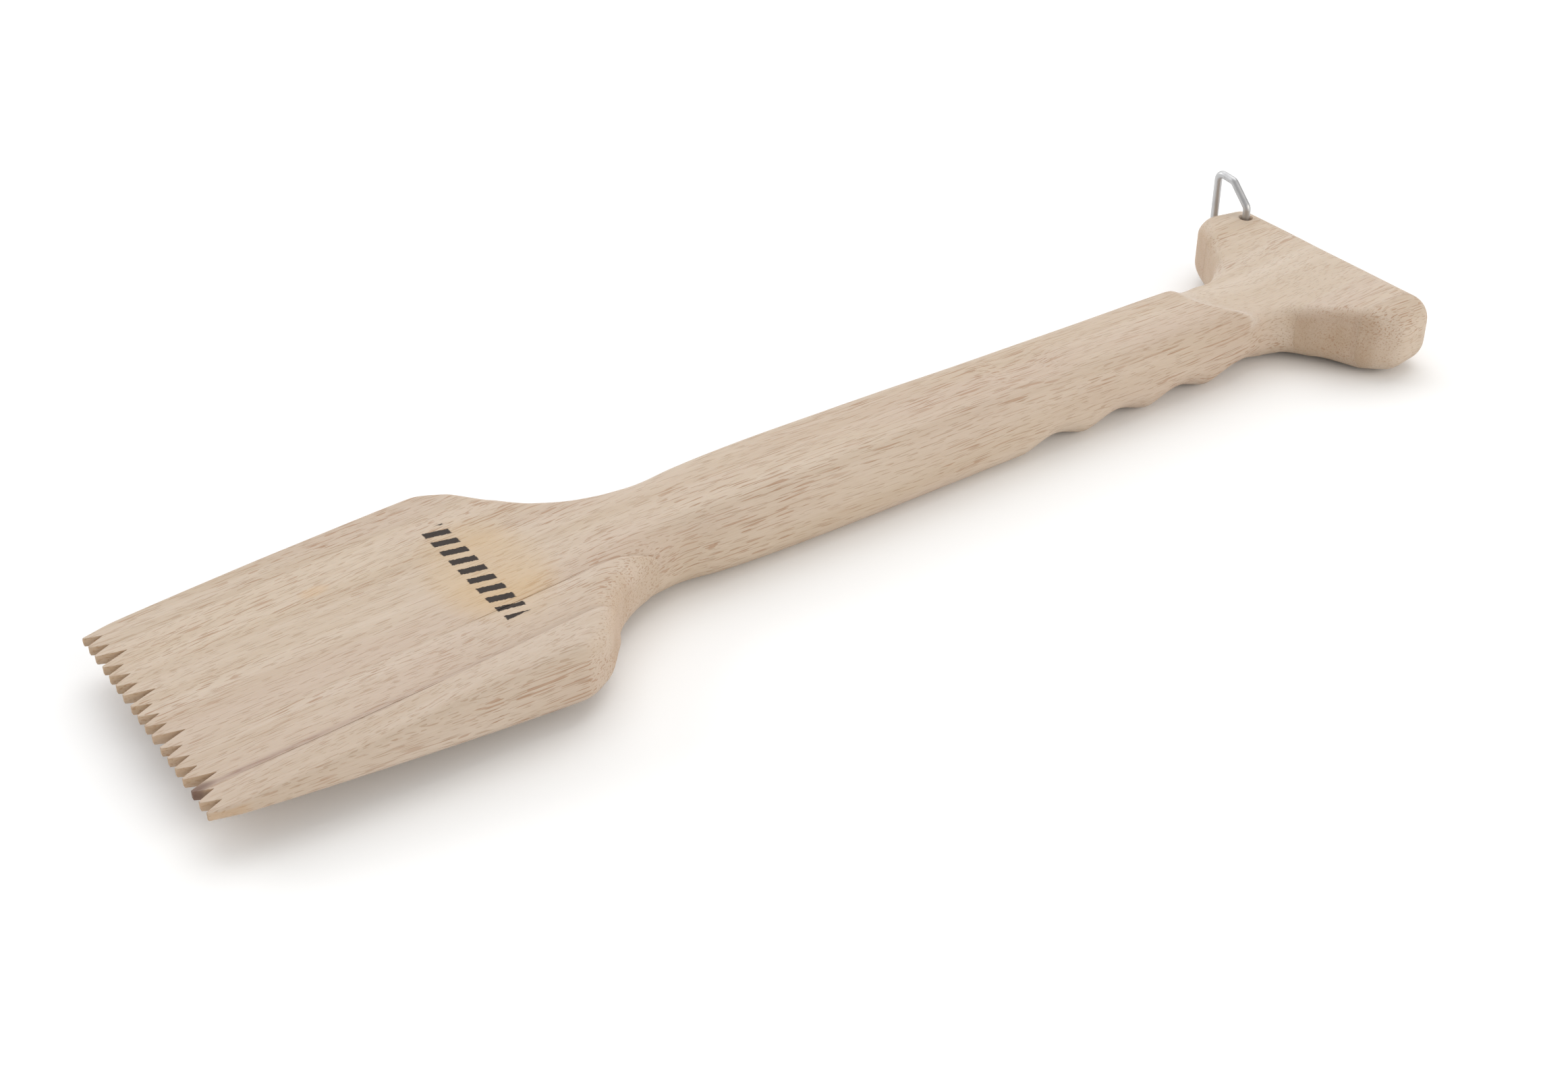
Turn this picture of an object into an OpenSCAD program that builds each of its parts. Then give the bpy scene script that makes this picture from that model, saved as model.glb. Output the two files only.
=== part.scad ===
// Wooden grill scraper: a thin wedge blade with grate teeth, a waisted shaft with
// finger grooves, a T grip and a wire hanging bail.
// The board is edge-glued from straight staves that run along the tool. The core stave
// carries the whole length, and the side staves widen it at the blade and at the grip.
// X runs from the blade to the grip, Y to the left, Z up. The origin is at mid length
// on the flat underside.

/* [Board] */
// Length from the tooth tips to the rear edge of the grip
tool_l = 450; // [440:1:470]
// Thickness of the board
board_t = 27.7; // [26:0.1:29]
// Half width of the core stave, from the middle to its glue faces
core_half_w = 18; // [17.8:0.1:19]
// Width of an inner side stave
stave_w = 18; // [17:0.5:19]

/* [Blade] */
// Widest width of the blade
blade_w = 101.6; // [98:0.2:105]
// Distance from the tooth tips to the rear shoulder of the blade
shoulder_s = 103; // [98:1:108]
// Thickness of the cutting edge
edge_t = 2.8; // [2.4:0.1:4]
// Slope of each face of the wedge
wedge_slope = 0.071; // [0.068:0.001:0.08]

/* [Teeth] */
// Pitch of the shallow notches, which scrape between the bars
short_pitch = 5.08; // [5:0.02:5.3]
// Pitch across a deep notch, which straddles a grate bar
deep_pitch = 5.97; // [5.8:0.01:6.4]
// Depth of a shallow notch
short_depth = 5; // [3:0.5:6]
// Depth of a deep notch
deep_depth = 8.1; // [6.5:0.1:10]
// Width of the blunt tip of a tooth
tip_face = 0.9; // [0.5:0.1:1.4]

/* [Raised strips] */
// Height of the inner right stave above the wedge at its rear end
inner_raise = 1; // [0:0.1:1.5]
// Height of the outer right stave above the wedge at its rear end
outer_raise = 3; // [0:0.1:3.5]

/* [Shaft] */
// Width of the narrow neck behind the blade
neck_w = 31.8; // [30:0.2:34]
// Width of the shaft at its front
shaft_w = 35; // [34:0.1:35.4]
// Width of the shaft where it meets the grip
shaft_end_w = 32; // [30:0.5:34]
// Edge radius along the shaft
shaft_edge_r = 9; // [6:0.5:10]
// Depth of the finger grooves in the underside
groove_depth = 3.5; // [1:0.1:4]
// Spacing of the finger grooves
groove_pitch = 27.5; // [25:0.5:27.5]
// Depth of the thumb dimple in the top
dimple_depth = 1.2; // [0.5:0.1:2]

/* [Grip] */
// Width of the T grip
grip_w = 99; // [96:1:104]
// Distance from the tool's middle line to the middle of the grip
grip_shift = 2.6; // [0:0.1:3]
// Radius of the rounded edges of the grip
grip_edge_r = 8.7; // [8:0.1:9.5]
// Height of the underside of the grip above the flat the shaft rests on, and as much off the top
grip_relief = 1.5; // [1.2:0.1:2]
// Depth of the scoop in the top of the grip
scoop_depth = 4; // [2:0.5:5]
// Depth of the hollow in the underside round the hole, where the bail passes below the grip
bail_hollow_depth = 2.4; // [2.2:0.1:3]

/* [Hanging bail] */
// Diameter of the bail's wire
wire_d = 2.8; // [2.5:0.1:3]
// Diameter of the hole the bail passes through
bail_hole_d = 4.2; // [4:0.1:5]
// Distance from the rear edge of the grip to the hole
hole_inset = 10; // [9.5:0.1:10.5]
// Distance from the tool's middle line to the hole
hole_y = 39; // [38.5:0.1:39.5]
// Distance from the hole to the outer leg of the bail
bail_reach = 15.8; // [15.5:0.1:16.5]
// Height of the top of the bail above the flat underside
bail_top_z = 39.9; // [38:0.1:43]

/* [Hidden] */

LEFT = 1;
RIGHT = -1;
mid_z = board_t / 2;
glue_inner = core_half_w;
glue_outer = core_half_w + stave_w;
beyond_edge = 200;
neck_s = 162;
grip_s = 388;
rear_s = tool_l - grip_edge_r;
tooth_count = 18;
deep_count = 4;
tip_w = (tooth_count - 1 - deep_count) * short_pitch + deep_count * deep_pitch;
heartwood = "burlywood";
sapwood = "wheat";
wire_fn = 32;

// Half width of the outline at a distance s behind the tooth tips
outline = [
    [0, tip_w / 2 + tip_face / 2],
    [10, tip_w / 2 + 2.4],
    [60, blade_w / 2 - 0.9],
    [shoulder_s, blade_w / 2],
    [shoulder_s + 10, blade_w / 2 - 4.2],
    [123, 35.8],
    [133, 25.9],
    [144, 19.6],
    [neck_s - 9, neck_w / 2 + 1.1],
    [neck_s, neck_w / 2],
    [174, neck_w / 2 + 1],
    [187, shaft_w / 2 - 0.2],
    [220, shaft_w / 2],
    [300, (shaft_w + shaft_end_w) / 4 - 0.2],
    [grip_s, shaft_end_w / 2],
    [398, shaft_end_w / 2 - 0.8],
    [407, 18.4],
    [416, 30],
    [425, grip_w / 2 - 4.4],
    [433, grip_w / 2],
    [rear_s, grip_w / 2 - 1.2]
];

// Edge radius at a distance s behind the tooth tips
edge_radii = [
    [0, 0.8],
    [25, 2],
    [shoulder_s, 5.1],
    [neck_s, shaft_edge_r],
    [grip_s, shaft_edge_r],
    [415, grip_edge_r],
    [tool_l, grip_edge_r]
];

// Smooth curve through [s, value] pairs
function span_of(p, s, i = 0) = (i < len(p) - 2 && s > p[i + 1][0]) ? span_of(p, s, i + 1) : i;
function chord(p, i) = (p[i + 1][1] - p[i][1]) / (p[i + 1][0] - p[i][0]);
function bend_at(p, i) =
    i == 0 ? chord(p, 0)
    : i == len(p) - 1 ? chord(p, i - 1)
    : chord(p, i - 1) * chord(p, i) <= 0 ? 0
    : 2 * chord(p, i - 1) * chord(p, i) / (chord(p, i - 1) + chord(p, i));
function curve(p, s) =
    let (i = span_of(p, s))
    let (h = p[i + 1][0] - p[i][0])
    let (t = min(1, max(0, (s - p[i][0]) / h)))
    let (rise = p[i + 1][1] - p[i][1])
    p[i][1] + h * bend_at(p, i) * t * pow(1 - t, 2) + rise * t * t * (3 - 2 * t)
    - h * bend_at(p, i + 1) * t * t * (1 - t);

function ramp(s, from, to) = min(1, max(0, (s - from) / (to - from)));
function smooth(t) = t * t * (3 - 2 * t);

// The wedge runs into the flat board over a short soft bend
wedge_blend = 2.4;
function soft_min(a, b) =
    min(a, b) - pow(max(0, wedge_blend - abs(a - b)), 2) / (4 * wedge_blend);
function half_t(s) =
    soft_min(edge_t / 2 + wedge_slope * s, board_t / 2) - grip_relief * ramp(s, 384, 404);

// Everything shrinks by this much where the rear edge rounds off
function rear_inset(s) =
    s <= rear_s ? 0
    : grip_edge_r - sqrt(max(0, pow(grip_edge_r, 2) - pow(s - rear_s, 2)));
// The grip sits a little to the left of the tool's middle line
function off_middle(s) = grip_shift * smooth(ramp(s, 385, 415));
function half_w(s, side) =
    curve(outline, min(s, rear_s)) - rear_inset(s) + side * off_middle(s);
function edge_r(s) = min(curve(edge_radii, s), half_t(s) * 0.9) - rear_inset(s);
function outline_slope(s, side) =
    (half_w(min(s, rear_s), side) - half_w(min(s, rear_s) - 0.5, side)) / 0.5;
// The edge radius measured across the tool, where the outline runs at a slant
function edge_reach(s, side) =
    min(edge_r(s) * sqrt(1 + pow(outline_slope(s, side), 2)), half_w(s, side) * 0.95);
// How far the rounded edge has dropped below the face at a distance y from the middle line
function edge_drop(s, y) =
    let (side = y < 0 ? RIGHT : LEFT)
    let (reach = edge_reach(s, side))
    let (into = abs(y) - half_w(s, side) + reach)
    into <= 0 ? 0 : edge_r(s) * (1 - sqrt(max(0, 1 - pow(into / max(reach, 0.001), 2))));

// Hollows: a bump that fades smoothly to nothing at distance 1
function fade(d) = d >= 1 ? 0 : pow(1 - d * d, 2);
dimple_s = 299;
dimple_half = [20, 12];
function dimple(s, y) =
    dimple_depth * fade(norm([(s - dimple_s) / dimple_half[0], y / dimple_half[1]]));
// The scoop falls away from a crease across the shaft and rises again to the rear edge
scoop_s = 376;
function scoop(s, y) =
    let (enter = ramp(s, scoop_s, scoop_s + 20))
    let (leave = smooth(ramp(s, 404, 446)))
    let (aside = smooth(ramp(abs(y), 14, 44)))
    scoop_depth * enter * (2 - enter) * (1 - leave) * (1 - aside);
groove_s = 291.8;
groove_count = 4;
function groove(s) =
    (s < groove_s || s > groove_s + groove_count * groove_pitch) ? 0
    : groove_depth * pow(abs(sin((s - groove_s) / groove_pitch * 180)), 1.5);
bail_hollow_r = 18;
function bail_hollow(s, y) =
    bail_hollow_depth * fade(norm([s - tool_l + hole_inset, y - hole_y]) / bail_hollow_r);

function top_z(s, y, lift) =
    mid_z + half_t(s) - rear_inset(s) - dimple(s, y) - scoop(s, y) + lift;
function under_z(s, y) = mid_z - half_t(s) + rear_inset(s) + groove(s) + bail_hollow(s, y);

// Columns of points run along each stave. At the rear of the teeth they are spread over
// the face, and closer together round the edge, as shares of the stave's width.
function spread(n) = [for (i = [0 : n]) 1 - pow(1 - i / n, 2)];
function spread_both(n) = [for (i = [0 : n]) (1 - cos(180 * i / n)) / 2];
function mix(a, b, t) = a + (b - a) * t;

// The teeth: [y, depth] at each corner of the cutting edge between y = a and y = b
function tip_y(k) =
    -tip_w / 2 + k * short_pitch + floor((k + 1) / 4) * (deep_pitch - short_pitch);
function notch_depth(k) = k % 4 == 2 ? deep_depth : short_depth;
cutting_edge = [
    for (k = [0 : tooth_count - 1])
        each concat(
            [[tip_y(k) - tip_face / 2, 0], [tip_y(k) + tip_face / 2, 0]],
            k < tooth_count - 1 ? [[(tip_y(k) + tip_y(k + 1)) / 2, notch_depth(k)]] : []
        )
];
function notch_at(y) =
    let (near = [for (i = [0 : len(cutting_edge) - 2])
        if (cutting_edge[i][0] <= y && y <= cutting_edge[i + 1][0]) i][0])
    near == undef ? 0
    : mix(cutting_edge[near][1], cutting_edge[near + 1][1],
        (y - cutting_edge[near][0]) / (cutting_edge[near + 1][0] - cutting_edge[near][0]));
function edge_corners(a, b) =
    concat([a], [for (c = cutting_edge) if (c[0] > a + 0.05 && c[0] < b - 0.05) c[0]], [b]);

// One ring of a stave: its upper and lower points across the tool at a distance s
tooth_root_s = 12;
function ring(s, ys, lift) =
    let (pull = 1 - ramp(s, 0, tooth_root_s))
    let (at = [for (y = ys) s + (pull > 0 ? notch_at(y) * pull : 0)])
    [
        [for (i = [0 : len(ys) - 1])
            [at[i] - tool_l / 2, ys[i],
                top_z(at[i], ys[i], lift) - edge_drop(at[i], ys[i])]],
        [for (i = [0 : len(ys) - 1])
            [at[i] - tool_l / 2, ys[i], under_z(at[i], ys[i]) + edge_drop(at[i], ys[i])]]
    ];

// A solid between upper and lower rows of points, one pair of rows per ring
module slab(rings) {
    columns = len(rings[0][0]);
    row = 2 * columns;
    last = (len(rings) - 1) * row;
    top_and_under = [
        for (r = [0 : len(rings) - 2]) for (k = [0 : columns - 2])
            let (t = r * row + k, u = t + columns)
            each [[t, t + 1, t + 1 + row], [t, t + 1 + row, t + row],
                [u, u + 1 + row, u + 1], [u, u + row, u + 1 + row]]
    ];
    sides = [
        for (r = [0 : len(rings) - 2])
            let (t = r * row, e = t + columns - 1)
            each [[t, t + row, t + columns + row], [t, t + columns + row, t + columns],
                [e, e + columns + row, e + row], [e, e + columns, e + columns + row]]
    ];
    ends = [
        for (k = [0 : columns - 2])
            let (z = last + k)
            each [[k, k + columns + 1, k + 1], [k, k + columns, k + columns + 1],
                [z, z + 1, z + columns + 1], [z, z + columns + 1, z + columns]]
    ];
    polyhedron(points = [for (r = rings) each concat(r[0], r[1])],
        faces = concat(top_and_under, sides, ends));
}

function stations(a, b, n) = [for (i = [0 : n]) a + (b - a) * i / n];
rear_stations = [for (q = [15 : 15 : 75]) rear_s + grip_edge_r * sin(q)];
// Distance behind the tips at which the outline crosses half width w
function crossing(w, side, wide_s, narrow_s, n = 24) =
    let (middle = (wide_s + narrow_s) / 2)
    n == 0 ? middle
    : half_w(middle, side) > w ? crossing(w, side, middle, narrow_s, n - 1)
    : crossing(w, side, wide_s, middle, n - 1);

// Half width of the core at a distance s, where its glue faces or its own edges end it
function core_w(s, side) = min(half_w(s, side), glue_inner);
module core_stave() {
    groove_end_s = groove_s + groove_count * groove_pitch;
    blade_stations = concat([0], stations(tooth_root_s, 96, 3), stations(104, 188, 12));
    shaft_stations = concat([215, 250], stations(groove_s - 14, groove_end_s, 32));
    grip_stations = concat(stations(groove_end_s + 4, rear_s, 8), rear_stations);
    corners = edge_corners(-glue_inner, glue_inner);
    even = spread_both(len(corners) - 1);
    color(heartwood) slab([
        for (s = concat(blade_stations, shaft_stations, grip_stations, [tool_l - 0.05]))
            ring(s, [for (i = [0 : len(corners) - 1])
                let (share = mix(corners[i] / glue_inner, 2 * even[i] - 1, ramp(s, 0, 30)))
                share * core_w(s, share < 0 ? RIGHT : LEFT)], 0)
    ]);
}

// Side staves are drawn between a and b, measured outwards from the middle
function side_ys(side, ys) = side == LEFT ? ys : [for (i = [len(ys) - 1 : -1 : 0]) -ys[i]];

module blade_stave(side, a, b, raise, raise_from) {
    sliver = 0.4;
    end_s = crossing(a + sliver, side, shoulder_s, neck_s);
    front_w = min(half_w(0, side), b);
    corners = edge_corners(a, front_w);
    even = spread(len(corners) - 1);
    slab([
        for (s = concat([0], stations(tooth_root_s, 90, 5), stations(94, end_s, 16)))
            let (w = min(half_w(s, side), b))
            ring(s, side_ys(side, [for (i = [0 : len(corners) - 1])
                a + (w - a) * mix((corners[i] - a) / (front_w - a), even[i], ramp(s, 0, 30))]),
                raise * ramp(s, raise_from, end_s))
    ]);
}

module grip_stave(side, a, b) {
    sliver = 0.4;
    start_s = crossing(a + sliver, side, rear_s, grip_s);
    last_s = tool_l - (b > half_w(rear_s, side) ? 0.3 : 0.05);
    even = spread(7);
    slab([
        for (s = concat(stations(start_s, rear_s, 14), rear_stations, [last_s]))
            let (w = min(half_w(s, side), b))
            ring(s, side_ys(side, [for (share = even) a + (w - a) * share]), 0)
    ]);
}

module blade_stave_left_inner() {
    color(sapwood) blade_stave(LEFT, glue_inner, glue_outer, 0, 0);
}
module blade_stave_left_outer() {
    color(heartwood) blade_stave(LEFT, glue_outer, beyond_edge, 0, 0);
}
module blade_stave_right_inner() {
    color(sapwood) blade_stave(RIGHT, glue_inner, glue_outer, inner_raise, 80);
}
module blade_stave_right_outer() {
    color(heartwood) blade_stave(RIGHT, glue_outer, beyond_edge, outer_raise, 7);
}
module grip_stave_left_inner() {
    color(sapwood) grip_stave(LEFT, glue_inner, glue_outer);
}
module grip_stave_left_outer() {
    color(heartwood) difference() {
        grip_stave(LEFT, glue_outer, beyond_edge);
        translate([tool_l / 2 - hole_inset, hole_y, -1])
            cylinder(h = board_t + 2, d = bail_hole_d, $fn = 48);
    }
}
module grip_stave_right_inner() {
    color(sapwood) grip_stave(RIGHT, glue_inner, glue_outer);
}
module grip_stave_right_outer() {
    color(heartwood) grip_stave(RIGHT, glue_outer, beyond_edge);
}

// The bail is one closed loop of wire. Its corners are [distance from the hole, height].
bail_low_z = wire_d / 2 + 0.2;
bail_bend_r = 2.6;
// The wire swells a little where it is bent, and the bends sleeve the ends of the runs
bend_swell = 0.03;
bend_sleeve = 0.2;
bail_corners = [
    [0, bail_low_z],
    [0, bail_top_z - 9.8],
    [bail_reach * 0.5, bail_top_z - 2.2],
    [bail_reach, bail_top_z - wire_d / 2],
    [bail_reach, bail_low_z]
];
function corner(i) = bail_corners[(i + len(bail_corners)) % len(bail_corners)];
function heading(i) = (corner(i + 1) - corner(i)) / norm(corner(i + 1) - corner(i));
function turn_at(i) = acos(heading(i - 1) * heading(i));
// Length of the straight wire that a bend takes up on each side of its corner
function set_back(i) = bail_bend_r * tan(turn_at(i) / 2);

module bail_run(i) {
    start = corner(i) + heading(i) * (set_back(i) - bend_sleeve);
    run = norm(corner(i + 1) - corner(i)) - set_back(i) - set_back(i + 1) + 2 * bend_sleeve;
    translate(start)
        rotate([0, 90, atan2(heading(i)[1], heading(i)[0])])
            cylinder(h = run, d = wire_d, $fn = wire_fn);
}

// The loop runs clockwise, so each bend's centre lies to the right of its run
module bail_bend(i) {
    to_centre = [heading(i - 1)[1], -heading(i - 1)[0]];
    centre = corner(i) - heading(i - 1) * set_back(i) + to_centre * bail_bend_r;
    translate(centre)
        rotate(atan2(-to_centre[1], -to_centre[0]) - turn_at(i))
            rotate_extrude(angle = turn_at(i), $fn = 64)
                translate([bail_bend_r, 0]) circle(d = wire_d + 2 * bend_swell, $fn = wire_fn);
}

module hanging_bail() {
    color("silver") translate([tool_l / 2 - hole_inset, hole_y, 0]) rotate([90, 0, 90])
        for (i = [0 : len(bail_corners) - 1]) {
            bail_run(i);
            bail_bend(i);
        }
}

core_stave();
blade_stave_left_inner();
blade_stave_left_outer();
blade_stave_right_inner();
blade_stave_right_outer();
grip_stave_left_inner();
grip_stave_left_outer();
grip_stave_right_inner();
grip_stave_right_outer();
hanging_bail();
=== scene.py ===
import math

import bpy
import numpy as np
from mathutils import Matrix, Vector


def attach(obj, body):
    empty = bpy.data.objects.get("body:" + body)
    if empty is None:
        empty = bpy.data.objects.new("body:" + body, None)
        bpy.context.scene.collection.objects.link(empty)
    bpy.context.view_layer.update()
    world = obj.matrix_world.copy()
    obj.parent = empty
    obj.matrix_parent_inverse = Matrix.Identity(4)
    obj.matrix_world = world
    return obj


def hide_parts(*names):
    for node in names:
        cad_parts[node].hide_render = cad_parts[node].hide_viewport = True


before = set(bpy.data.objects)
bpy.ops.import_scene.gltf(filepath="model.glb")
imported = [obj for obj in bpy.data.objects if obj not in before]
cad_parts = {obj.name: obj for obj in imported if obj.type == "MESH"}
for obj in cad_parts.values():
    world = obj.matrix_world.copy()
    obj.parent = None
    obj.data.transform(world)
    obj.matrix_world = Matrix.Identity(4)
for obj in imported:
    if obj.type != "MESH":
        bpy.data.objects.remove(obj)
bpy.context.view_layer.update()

# Sizes are in millimetres here and are turned to metres when a mesh is made.
# s is the distance behind the tooth tips, y the distance to the left, z the height.
MM = 0.001
TOOL_L = 450.0
BOARD_T = 27.7
MID_Z = BOARD_T / 2
GLUE_INNER = 18.0
GLUE_OUTER = 36.0
EDGE_T = 2.8
WEDGE_SLOPE = 0.071
WEDGE_BLEND = 2.4
SHORT_PITCH = 5.08
DEEP_PITCH = 5.97
SHORT_DEPTH = 5.0
DEEP_DEPTH = 8.1
TIP_FACE = 0.9
TEETH = 18
TOOTH_ROOT = 12.0
EVEN_S = 30
TIP_W = 13 * SHORT_PITCH + 4 * DEEP_PITCH
GRIP_R = 8.7
GRIP_SHIFT = 2.6
GRIP_RELIEF = 1.5
REAR_S = TOOL_L - GRIP_R
LAST_S = TOOL_L - 0.02
SANDING_DEPTH = 0.12
DIMPLE_S = 299
DIMPLE_DEPTH = 1.35
DIMPLE_LIP = 0.22
CREASE_S = 376
CREASE_Y = 8
CREASE_BOW = 0.001
CREASE_BOW_MAX = 14
CREASE_LIP = 0.15
SCOOP_DEPTH = 4.2
SCOOP_RUN = 15
GROOVE_START = 291.8
GROOVE_PITCH = 27.5
GROOVE_DEPTH = 3.5
GROOVES = 4
HOLE_S = TOOL_L - 10.0
HOLE_Y = 39.0
HOLE_R = 2.1
HOLLOW_DEPTH = 2.4
HOLLOW_R = 18
WIRE_R = 1.4
BAIL_REACH = 15.8
BAIL_TOP_Z = 39.9
BAIL_GAP_BELOW = 0.2
BEND_R = 2.6
TIP_WEAR = 0.35
INNER_LAG = 1.6
OUTER_LAG = 3.4
LEFT, RIGHT = 1, -1

# How wide a strip still is at the row where it runs out
LEAST_W = 0.05

# A strip that ends here runs out to the outline of the tool
OPEN_SIDE = 200

# A wide place and a narrow one, with the crossing of each glue plane between them
NECK_SPAN = (103, 162)
GRIP_SPAN = (REAR_S, 388)

# Fineness of the meshes
SHARP_ANGLE = 32
WIRE_SHARP_ANGLE = 60
ROW_STEP = 1.25
FINE_ROW_STEP = 0.5
GRIP_ROW_STEP = 0.7
TOOTH_COLUMNS = 3
ARC_COLUMNS = 12
GRIP_COLUMNS = 34
BORE_SIDES = 64
WIRE_SIDES = 28
WIRE_STEP = 1.2
BEND_STEPS = 14

OUTLINE = [
    (0, TIP_W / 2 + TIP_FACE / 2), (10, TIP_W / 2 + 2.4), (60, 49.9), (103, 50.8),
    (113, 46.6), (123, 35.8), (133, 25.9), (144, 19.6), (153, 17.0), (162, 15.9),
    (174, 16.9), (187, 17.3), (220, 17.5), (300, 16.55), (388, 16.0), (398, 15.2),
    (407, 18.4), (416, 30.0), (425, 45.1), (433, 49.5), (REAR_S, 48.3),
]
EDGE_RADII = [
    (0, 0.8), (25, 2.0), (103, 5.1), (162, 9.0), (388, 9.0), (415, GRIP_R), (TOOL_L, GRIP_R),
]

# The edge between the grip's top and its front face is crisper than the rest
TOP_RADII = [
    (0, 0.8), (25, 2.0), (103, 5.1), (162, 9.0), (378, 9.0), (394, 4.2), (418, 4.2),
    (436, GRIP_R), (TOOL_L, GRIP_R),
]


def curve(points, s):
    """Smooth curve through (s, value) pairs that never overshoots them."""
    at = np.array([p[0] for p in points], float)
    value = np.array([p[1] for p in points], float)
    step = np.diff(at)
    chord = np.diff(value) / step
    bend = np.zeros(len(at))
    bend[0], bend[-1] = chord[0], chord[-1]
    for i in range(1, len(at) - 1):
        if chord[i - 1] * chord[i] > 0:
            bend[i] = 2 * chord[i - 1] * chord[i] / (chord[i - 1] + chord[i])
    s = np.clip(s, at[0], at[-1])
    i = np.clip(np.searchsorted(at, s, side="right") - 1, 0, len(at) - 2)
    t = (s - at[i]) / step[i]
    return (value[i] + step[i] * bend[i] * t * (1 - t) ** 2
            + (value[i + 1] - value[i]) * t * t * (3 - 2 * t)
            - step[i] * bend[i + 1] * t * t * (1 - t))


def ramp(s, low, high):
    return np.clip((s - low) / (high - low), 0, 1)


def soft(s, low, high):
    """0 below low and 1 above high, with a smooth climb between."""
    t = ramp(s, low, high)
    return t * t * (3 - 2 * t)


def fade(d):
    """1 at d = 0, falling smoothly to 0 at d = 1."""
    return np.clip(1 - d * d, 0, None) ** 2


def half_t(s):
    """Half the thickness: a wedge that blends into the flat board, a little less at the grip."""
    wedge, flat = EDGE_T / 2 + WEDGE_SLOPE * s, BOARD_T / 2
    blend = np.clip(WEDGE_BLEND - np.abs(wedge - flat), 0, None) ** 2 / (4 * WEDGE_BLEND)
    return np.minimum(wedge, flat) - blend - GRIP_RELIEF * soft(s, 382, 406)


def rear_inset(s):
    """How far the rear edge's rounding has drawn the surface in."""
    past = np.clip(s - REAR_S, 0, GRIP_R)
    return GRIP_R - np.sqrt(np.clip(GRIP_R ** 2 - past ** 2, 0, None))


def half_w(s, side, lag=0.0):
    """Half width of the outline. A lag carries a strip's rear end a little past its neighbour."""
    back = np.minimum(s, REAR_S) - lag * soft(s, 90, 106)
    return curve(OUTLINE, back) - rear_inset(s) + side * GRIP_SHIFT * soft(s, 385, 415)


def edge_r(s, radii=EDGE_RADII):
    """Radius of the long edges."""
    return np.minimum(curve(radii, s), half_t(s) * 0.9) - rear_inset(s)


def edge_reach(s, side, lag=0.0, radii=EDGE_RADII):
    """How far in from the outline the edge's rounding starts, measured straight across."""
    near = np.minimum(s, REAR_S)
    slope = (half_w(near, side, lag) - half_w(near - 0.5, side, lag)) / 0.5
    return np.minimum(edge_r(s, radii) * np.sqrt(1 + slope ** 2), half_w(s, side, lag) * 0.95)


def edge_drop(s, y, lag=0.0, radii=EDGE_RADII):
    """How far the edge's rounding has brought a face down."""
    side = np.where(y < 0, RIGHT, LEFT)
    reach = edge_reach(s, side, lag, radii)
    into = np.clip(np.abs(y) - half_w(s, side, lag) + reach, 0, None)
    round_off = 1 - np.sqrt(np.clip(1 - (into / np.maximum(reach, 0.001)) ** 2, 0, None))
    return edge_r(s, radii) * round_off


def sanding(s, y):
    """The faint unevenness that hand sanding leaves."""
    wave = (0.5 * np.sin(s / 19 + 1.3) * np.cos(y / 13 + 0.4) + 0.3 * np.sin(s / 8.3 + y / 6.1)
            + 0.2 * np.sin(s / 31 - y / 7.7 + 2))
    return SANDING_DEPTH * wave * soft(s, 20, 60)


def thumb_dimple(s, y):
    """A shallow oval hollow on the shaft, with a faint lip before and behind it."""
    hollow = fade(np.hypot((s - DIMPLE_S) / 19, (y + 1 + (s - DIMPLE_S) * 0.12) / 12))
    lip = fade(np.hypot((s - 285) / 9, (y - 5) / 8)) + fade(np.hypot((s - 313) / 8, (y + 4) / 8))
    return DIMPLE_DEPTH * hollow - DIMPLE_LIP * lip


def grip_scoop(s, y):
    """The grip's top is worked hollow, from a crease across the shaft to the rear edge."""
    bow = CREASE_BOW * np.clip(CREASE_Y - y, 0, None) ** 3
    start = CREASE_S + np.minimum(bow, CREASE_BOW_MAX)
    enter = ramp(s, start, start + SCOOP_RUN)
    leave = 1 - soft(s, 404, 446)
    lip = CREASE_LIP * fade((s - start + 2) / 6) * fade(np.clip(np.abs(y) / 14, 0, 1))
    return SCOOP_DEPTH * enter * (2 - enter) * leave * (1 - soft(np.abs(y), 14, 44)) - lip


def grooves(s):
    """The finger grooves across the underside of the shaft."""
    into = (s - GROOVE_START) / GROOVE_PITCH
    inside = (into > 0) & (into < GROOVES)
    return np.where(inside, GROOVE_DEPTH * np.abs(np.sin(into * math.pi)) ** 1.5, 0)


def bail_hollow(s, y):
    """Room under the grip for the lower run of the bail."""
    return HOLLOW_DEPTH * fade(np.hypot(s - HOLE_S, y - HOLE_Y) / HOLLOW_R)


def top_z(s, y):
    return (MID_Z + half_t(s) - rear_inset(s) - thumb_dimple(s, y) - grip_scoop(s, y)
            + sanding(s, y))


def under_z(s, y):
    return MID_Z - half_t(s) + rear_inset(s) + grooves(s) + bail_hollow(s, y)


def tip_y(k):
    """Middle of tooth k, counted from the right."""
    return -TIP_W / 2 + k * SHORT_PITCH + ((k + 1) // 4) * (DEEP_PITCH - SHORT_PITCH)


def cutting_edge():
    """The outline of the teeth, as (y, s) corners. Each notch ends in a narrow flat."""
    flat, rise = 0.12, 0.2
    corners = []
    for k in range(TEETH):
        corners += [(tip_y(k) - TIP_FACE / 2, 0.0), (tip_y(k) + TIP_FACE / 2, 0.0)]
        if k < TEETH - 1:
            depth = DEEP_DEPTH if k % 4 == 2 else SHORT_DEPTH
            middle = (tip_y(k) + tip_y(k + 1)) / 2
            corners += [(middle - flat, depth - rise), (middle, depth),
                        (middle + flat, depth - rise)]
    return corners


CUTTING_EDGE = cutting_edge()


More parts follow.
